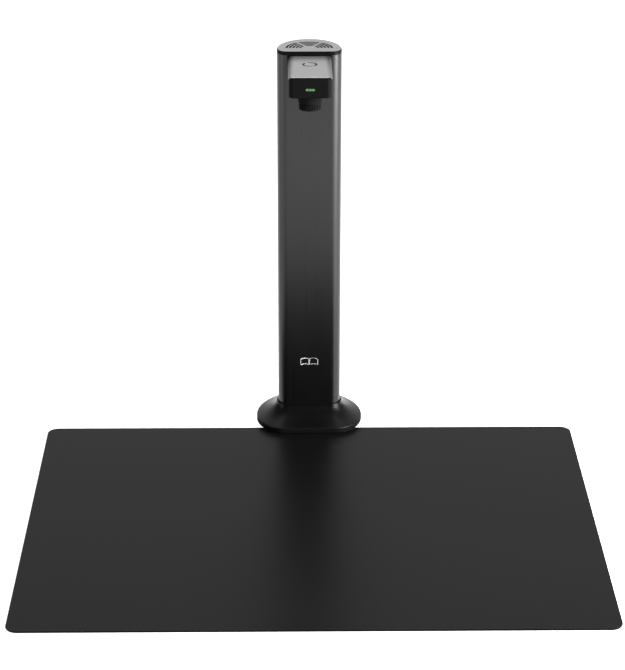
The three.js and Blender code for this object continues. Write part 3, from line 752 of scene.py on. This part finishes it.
for x in (9, -9):
    cuts += [prism("c", circle(1.4, 24, x, -27), 330, 340), prism("c", circle(2.5, 40, x, -27), 330, 334.1)]
for x in (11.2, -11.2):
    for y in (-78.6, -55.4):
        cuts.append(prism("c", circle(0.9, 20, x, y), 333.7, 340))
boolean(housing, cuts)
add(housing, "stand", black, ["head_housing"], 30)

# the sloped grey cover: a rounded section along Y, with softened ends
shoulder = arc(0, 0, 1, 0, 90, 14)
section = [(-18.9, 349.1), (-16.5, 349.1), (-16.3, 347.2), (-15.1, 347.2), (-14.9, 349.6), (14.9, 349.6), (15.1, 347.2), (16.3, 347.2), (16.5, 349.1)]
section += [(16 + 2.9 * u, 349.1 + 2.0 * v) for u, v in shoulder] + [(-16 - 2.9 * u, 349.1 + 2.0 * v) for u, v in reversed(shoulder[1:])]


def lid_ring(y, shrink, corner=0.0):
    ring = []
    for x, z in section:
        if z > 349.15 or abs(x) > 18.0:
            s = 1 if x > 0 else -1
            x = x - s * min(abs(x), shrink * (1 if abs(x) > 15 else 0)) - s * corner * (1 if abs(x) > 15 else 0)
            if z > 350.7:
                z -= shrink * 0.8
        ring.append((x, y, z))
    return ring


lid = loft("head_cover_look", [lid_ring(-83.0, 0.3, 0.35), lid_ring(-82.92, 0.12, 0.16), lid_ring(-82.7, 0.03, 0.05), lid_ring(-82.3, 0, 0), lid_ring(-50, 0), lid_ring(-15.4, 0), lid_ring(-15.3, 0.1)])
hole_profile = [(0, 340), (6.3, 340), (6.3, 350.67)] + [(6.3 + 0.45 * (1 - math.cos(t)), 350.67 + 0.45 * math.sin(t)) for t in (0.3, 0.6, 0.9, 1.2, 1.5)] + [(6.75, 352), (0, 352)]
boolean(lid, [
    box("c", -17.9, 17.9, -90, HEAD_FRONT + 2, 340, 350.3), box("c", -30, 30, -90, HEAD_FRONT + 5, 340, 349.1), box("c", -30, 30, -30, 0, 340, 349.1),
    lathe("c", hole_profile, 96, 0, BUTTON_Y)])
add(lid, "stand", satin_cover, ["head_cover"], 30)
lid.data.materials.append(black)
lid.data.materials.append(satin_shade)
# painted shade: the button hole's wall is black and its rounded rim dark grey, standing for the shade in the gap
for p in lid.data.polygons:
    c = p.center / MM
    if math.hypot(c.x, c.y - BUTTON_Y) < 6.75 and c.z < 351.09:
        p.material_index = 2 if c.z > 350.68 else 1

# status light
pipe = prism_y("status_light_look", round_rect(4, 1, 0.98, 12, 0, LIGHT_Z), HEAD_FRONT - 0.2, HEAD_FRONT + 2.4)
boolean(pipe, [prism_y("f", round_rect(5.2, 1.35, 1, 5, 0, LIGHT_Z), HEAD_FRONT + 1.8, HEAD_FRONT + 3)], "UNION")
add(pipe, "stand", light, ["status_light"])

# button: a shallow dish with a rounded rim
dish = [(0, 348.0), (7.2, 348.0), (7.2, 349.3), (5.4, 349.3), (5.4, 350.74)] + arc(5.1, 350.74, 0.3, 0, 90, 6) + [(4.7, 351.01), (4.0, 350.93), (2.6, 350.85), (1.2, 350.82), (0, 350.81)]
cap_b = lathe("light_button_look", dish, 96, 0, BUTTON_Y)
boolean(cap_b, [prism("s", circle(2, 32, 0, BUTTON_Y), 345, 348.4)], "UNION")
add(cap_b, "button", satin_button, ["light_button"], 40)
cap_b.data.materials.append(black)
cap_b.data.materials.append(satin_shade)
# painted shade: the button's outer wall is black and its rim and outer top ring dark grey, standing for the shade in
# the gap around it
for p in cap_b.data.polygons:
    if math.hypot(p.center.x / MM, p.center.y / MM - BUTTON_Y) > 4.8:
        p.material_index = 2 if p.center.z / MM > 350.75 else 1

# ---- lens ---------------------------------------------------------------------------------------------------------
holder = lathe("lens_holder_look", [
    (6.6, 319.3), (7.9, 319.3), (8, 319.4), (8, 324.6), (9.6, 324.6), (9.95, 324.64), (10.2, 324.8), (10.32, 325.05), (10.35, 325.4),
    (10.35, 335.4), (6.6, 335.4)], 128, 0, LENS_Y)
flange = prism("f", round_rect(13, 13, 1.5, 6, 0, LENS_Y), 335, 336.9)
boolean(flange, [prism("c", circle(6.6, 128, 0, LENS_Y), 330, 340)])
boolean(holder, [flange], "UNION")
boolean(holder, [prism("c", circle(1.1, 20, x, y), 330, 340) for x in (11.2, -11.2) for y in (-78.6, -55.4)])
add(holder, "stand", black_satin, ["lens_holder"], 30)

RIBS = 34
grip = []
for i in range(RIBS):
    for f, r in ((-0.30, 9.7), (-0.1, 9.72), (0.1, 9.72), (0.30, 9.7), (0.36, 9.5), (0.40, 8.95), (0.60, 8.95), (0.64, 9.5)):
        a = (i + f) / RIBS * 2 * math.pi
        r = min(r, 9.7)
        grip.append((r * math.cos(a), LENS_Y + r * math.sin(a)))


def grip_ring(k, z):
    return [(x * k, LENS_Y + (y - LENS_Y) * k, z) for x, y in grip]


ring = loft("focus_ring_look", [grip_ring(0.95, 318.5 + 0.95), grip_ring(0.985, 319.6), grip_ring(1, 319.9), grip_ring(1, 323.4), grip_ring(0.985, 323.75), grip_ring(0.96, 323.85)])
boolean(ring, [
    lathe("u", [(0, 323.5), (9.25, 323.5), (9.45, 323.62), (9.5, 323.8), (9.5, 324.1), (9.4, 324.25), (9.2, 324.3), (0, 324.3)], 128, 0, LENS_Y),
    lathe("u", [(0, 318.5)] + [(8.9, 318.5)] + arc(8.9, 319.3, 0.8, -90, 0, 8) + [(9.7, 319.5), (9.55, 319.75), (9.2, 319.8), (0, 319.8)], 128, 0, LENS_Y)], "UNION")
boolean(ring, [lathe("c", [(0, 310), (9.05, 310), (9.05, 319.6), (8.2, 319.6), (8.2, 330), (0, 330)], 128, 0, LENS_Y)])
add(ring, "focus_ring", black_satin, ["focus_ring"], 30)

add(lathe("ring_retainer_look", [(6.85, 318.7), (8.6, 318.7), (8.75, 318.85), (8.75, 319.3), (6.75, 319.3), (6.75, 318.8)], 96, 0, LENS_Y), "stand", black_satin, ["ring_retainer"])
baffle = []
z = 319.9
while z < 322.3:
    baffle += [(4.95, z), (4.72, z + 0.12)]
    z += 0.3
cell = [(5.15, 319.2), (6.2, 319.2), (6.35, 319.35), (6.35, 331), (4, 331), (4, 328), (3.2, 328), (3.2, 322.6), (4.85, 322.6)] + list(reversed(baffle)) + [(5.0, 319.5)]
barrel = lathe("lens_barrel_look", cell, 128, 0, LENS_Y)
boolean(barrel, [box("c", s * 5.7 - 1, s * 5.7 + 1, LENS_Y - 0.45, LENS_Y + 0.45, 318, 319.7) for s in (-1, 1)])
add(barrel, "lens_cell", black_satin, ["lens_barrel"], 30)
dome = [(0, 320.9)] + [(4.6 * i / 14, 320.9 + 1.0 * (i / 14) ** 2) for i in range(1, 15)] + [(4.68, 322.0), (4.7, 322.6), (0, 322.6)]
add(lathe("front_lens_look", dome, 96, 0, LENS_Y), "lens_cell", glass, ["front_lens"], 50)

# ---- lamp ---------------------------------------------------------------------------------------------------------
window = loft("lamp_window_look", [[(x, y, z) for x, y in round_rect(12 - d, 4.5 - d, 0.6, 5, 0, LAMP_Y)] for d, z in ((0.3, 333.2), (0.08, 333.28), (0, 333.5), (0, 335.2))])
boolean(window, [box("f", -13.4, 13.4, LAMP_Y - 5.9, LAMP_Y + 5.9, 335, 335.6)], "UNION")
add(window, "stand", opal, ["lamp_window"])
for i, x in enumerate((9, -9)):
    add(screw_up(f"head_screw_{i + 1}_look", x, -27, 2.2, 333.1, 334.1, 1.2, 337.6, 0.6), "stand", zinc, [f"head_screw_{i + 1}"])

# ---- rear socket --------------------------------------------------------------------------------------------------
shell = prism_y("socket_shell_look", round_rect(4.47, 1.63, 1.6, 12, 0, SOCKET_Z), 13.6, 22.2)
boolean(shell, [prism_y("c", round_rect(4.17, 1.33, 1.3, 12, 0, SOCKET_Z), 14.6, 24)])
add(bevel(shell, 0.06, 2, 50), "stand", shell_metal, ["socket_shell"], 30)
tongue = prism_y("socket_tongue_look", round_rect(3.3, 0.35, 0.2, 5, 0, SOCKET_Z), 14.6, 21.4)
add(bevel(tongue, 0.08, 2, 50), "stand", black_satin, ["socket_tongue"], 30)
pads = None
for s in (-1, 1):
    for i in range(8):
        x = -2.75 + i * 5.5 / 7
        z0 = SOCKET_Z + s * 0.35
        b = box(f"c{i}", x - 0.14, x + 0.14, 17.2, 21.0, min(z0, z0 + s * 0.03), max(z0, z0 + s * 0.03))
        if pads is None:
            pads = b
        else:
            bm = bmesh.new()
            bm.from_mesh(pads.data)
            bm.from_mesh(b.data)
            bm.to_mesh(pads.data)
            bm.free()
            bpy.data.objects.remove(b)
pads.name = "socket_contacts"
add(pads, "stand", gold, ())
bez = prism_y("port_bezel_look", round_rect(10.6, 5.1, 1.3, 8, 0, SOCKET_Z), 18.6, 22.5)
boolean(bez, [prism_y("u", round_rect(12.9, 7, 1.3, 6, 0, SOCKET_Z), 17.4, 19.0)], "UNION")
funnel = loft("c", [[(x, y, z) for x, z in round_rect(4.8 + d, 1.95 + d, 1.9 + d * 0.5, 10, 0, SOCKET_Z)] for d, y in ((0, 10), (0, 22.1), (0.5, 22.6), (0.5, 25))])
boolean(bez, [funnel])
add(bevel(bez, 0.18, 2, 60), "stand", black, ["port_bezel"], 30)

# ---- carried-over nodes: finishes ---------------------------------------------------------------------------------
FINISH = {
    "ballast_weight": iron, "column_bolt_1": zinc, "column_bolt_2": zinc, "cap_screw_1": zinc, "cap_screw_2": zinc,
    "head_bracket": steel, "bracket_screw_1": zinc, "bracket_screw_2": zinc, "switch_plunger": black_satin, "button_board": pcb,
    "button_switch": black_satin, "lamp_led_1": opal, "lamp_led_2": opal, "lamp_board": pcb, "rear_lens": glass, "image_sensor": black_gloss,
    "sensor_board": pcb, "sensor_screw_1": zinc, "sensor_screw_2": zinc, "sensor_screw_3": zinc, "sensor_screw_4": zinc,
    "sensor_connector": black_satin, "main_board": pcb, "board_connector": black_satin, "ribbon_cable": cable,
    "processor_chip": black_satin, "heat_sink": fin_alloy,
}
for name, m in FINISH.items():
    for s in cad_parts[name].material_slots:
        s.material = m

# ---- floor, light, camera -----------------------------------------------------------------------------------------
floor_me = bpy.data.meshes.new("floor")
floor_me.from_pydata([(-45, -45, 0), (45, -45, 0), (45, 45, 0), (-45, 45, 0)], [], [(0, 1, 2, 3)])
floor = bpy.data.objects.new("floor", floor_me)
bpy.context.scene.collection.objects.link(floor)
floor.location.z = -0.0002
k = Nodes("pale_floor")
k.put(Base_Color=(0.4, 0.4, 0.4, 1), Roughness=0.9, Emission_Strength=0.93)
k.p.inputs["Emission Color"].default_value = (1, 1, 1, 1)
k.p.inputs["Specular IOR Level"].default_value = 0.1
floor_me.materials.append(k.m)

SKY_BACK, SKY_FRONT = 0.85, 0.13
world = bpy.data.worlds.new("studio")
bpy.context.scene.world = world
world.use_nodes = True
wt = world.node_tree


def world_math(op, a, b, c=None):
    n = wt.nodes.new("ShaderNodeMath")
    n.operation = op
    for i, v in enumerate((a, b, c)):
        if v is None:
            continue
        if isinstance(v, (int, float)):
            n.inputs[i].default_value = v
        else:
            wt.links.new(v, n.inputs[i])
    return n.outputs[0]


def world_step(v, lo, hi, a, b):
    n = wt.nodes.new("ShaderNodeMapRange")
    n.interpolation_type = "SMOOTHSTEP"
    for key, value in (("From Min", lo), ("From Max", hi), ("To Min", a), ("To Max", b)):
        n.inputs[key].default_value = value
    wt.links.new(v, n.inputs["Value"])
    return n.outputs["Result"]


# a bright backdrop behind the part, dim in front and overhead
sky = wt.nodes.new("ShaderNodeTexCoord").outputs["Generated"]
split = wt.nodes.new("ShaderNodeSeparateXYZ")
wt.links.new(sky, split.inputs["Vector"])
backdrop = world_math("MULTIPLY", world_step(split.outputs["Y"], 0.5, 0.85, 0.0, 1.0), world_step(split.outputs["Z"], 0.08, 0.26, 0.3, 1.0))
level = world_math("ADD", world_math("MULTIPLY", backdrop, SKY_BACK), SKY_FRONT)
wt.links.new(level, wt.nodes["Background"].inputs["Strength"])
wt.nodes["Background"].inputs["Color"].default_value = (1, 1, 1, 1)


def area(name, loc, target, size, power, size_y=None):
    d = bpy.data.lights.new(name, "AREA")
    d.energy, d.shape, d.size, d.size_y = power, "RECTANGLE", size, size_y or size
    o = bpy.data.objects.new(name, d)
    o.location = loc
    o.rotation_euler = (Vector(target) - Vector(loc)).to_track_quat("-Z", "Y").to_euler()
    bpy.context.scene.collection.objects.link(o)
    return o


area("key_right", (1.5, -0.75, 0.75), (0, 0, 0.25), 1.2, 245, 1.5)
area("fill_left", (-1.6, -0.5, 0.7), (0, 0, 0.25), 0.7, 19, 1.4)
area("top", (0, 0.6, 2.0), (0, -0.1, 0.2), 1.2, 12)

f, pitch, yaw, roll = 2352.0, math.radians(22.125), math.radians(0.728), math.radians(0.076)
fwd = Vector((math.sin(yaw) * math.cos(pitch), math.cos(yaw) * math.cos(pitch), -math.sin(pitch)))
right = Vector((math.cos(yaw), -math.sin(yaw), 0))
up = right.cross(fwd)
r2 = math.cos(roll) * right + math.sin(roll) * up
u2 = -math.sin(roll) * right + math.cos(roll) * up
cam_data = bpy.data.cameras.new("camera")
cam_data.sensor_width = 36
cam_data.sensor_fit = "AUTO"
cam_data.lens = f * 36 / 670
cam_data.clip_end = 50
cam = bpy.data.objects.new("camera", cam_data)
m = Matrix((r2, u2, -fwd)).transposed().to_4x4()
m.translation = Vector((-0.0223, -2.0059, 0.8976))
cam.matrix_world = m
bpy.context.scene.collection.objects.link(cam)
bpy.context.scene.camera = cam
bpy.context.scene.view_settings.view_transform = "Standard"
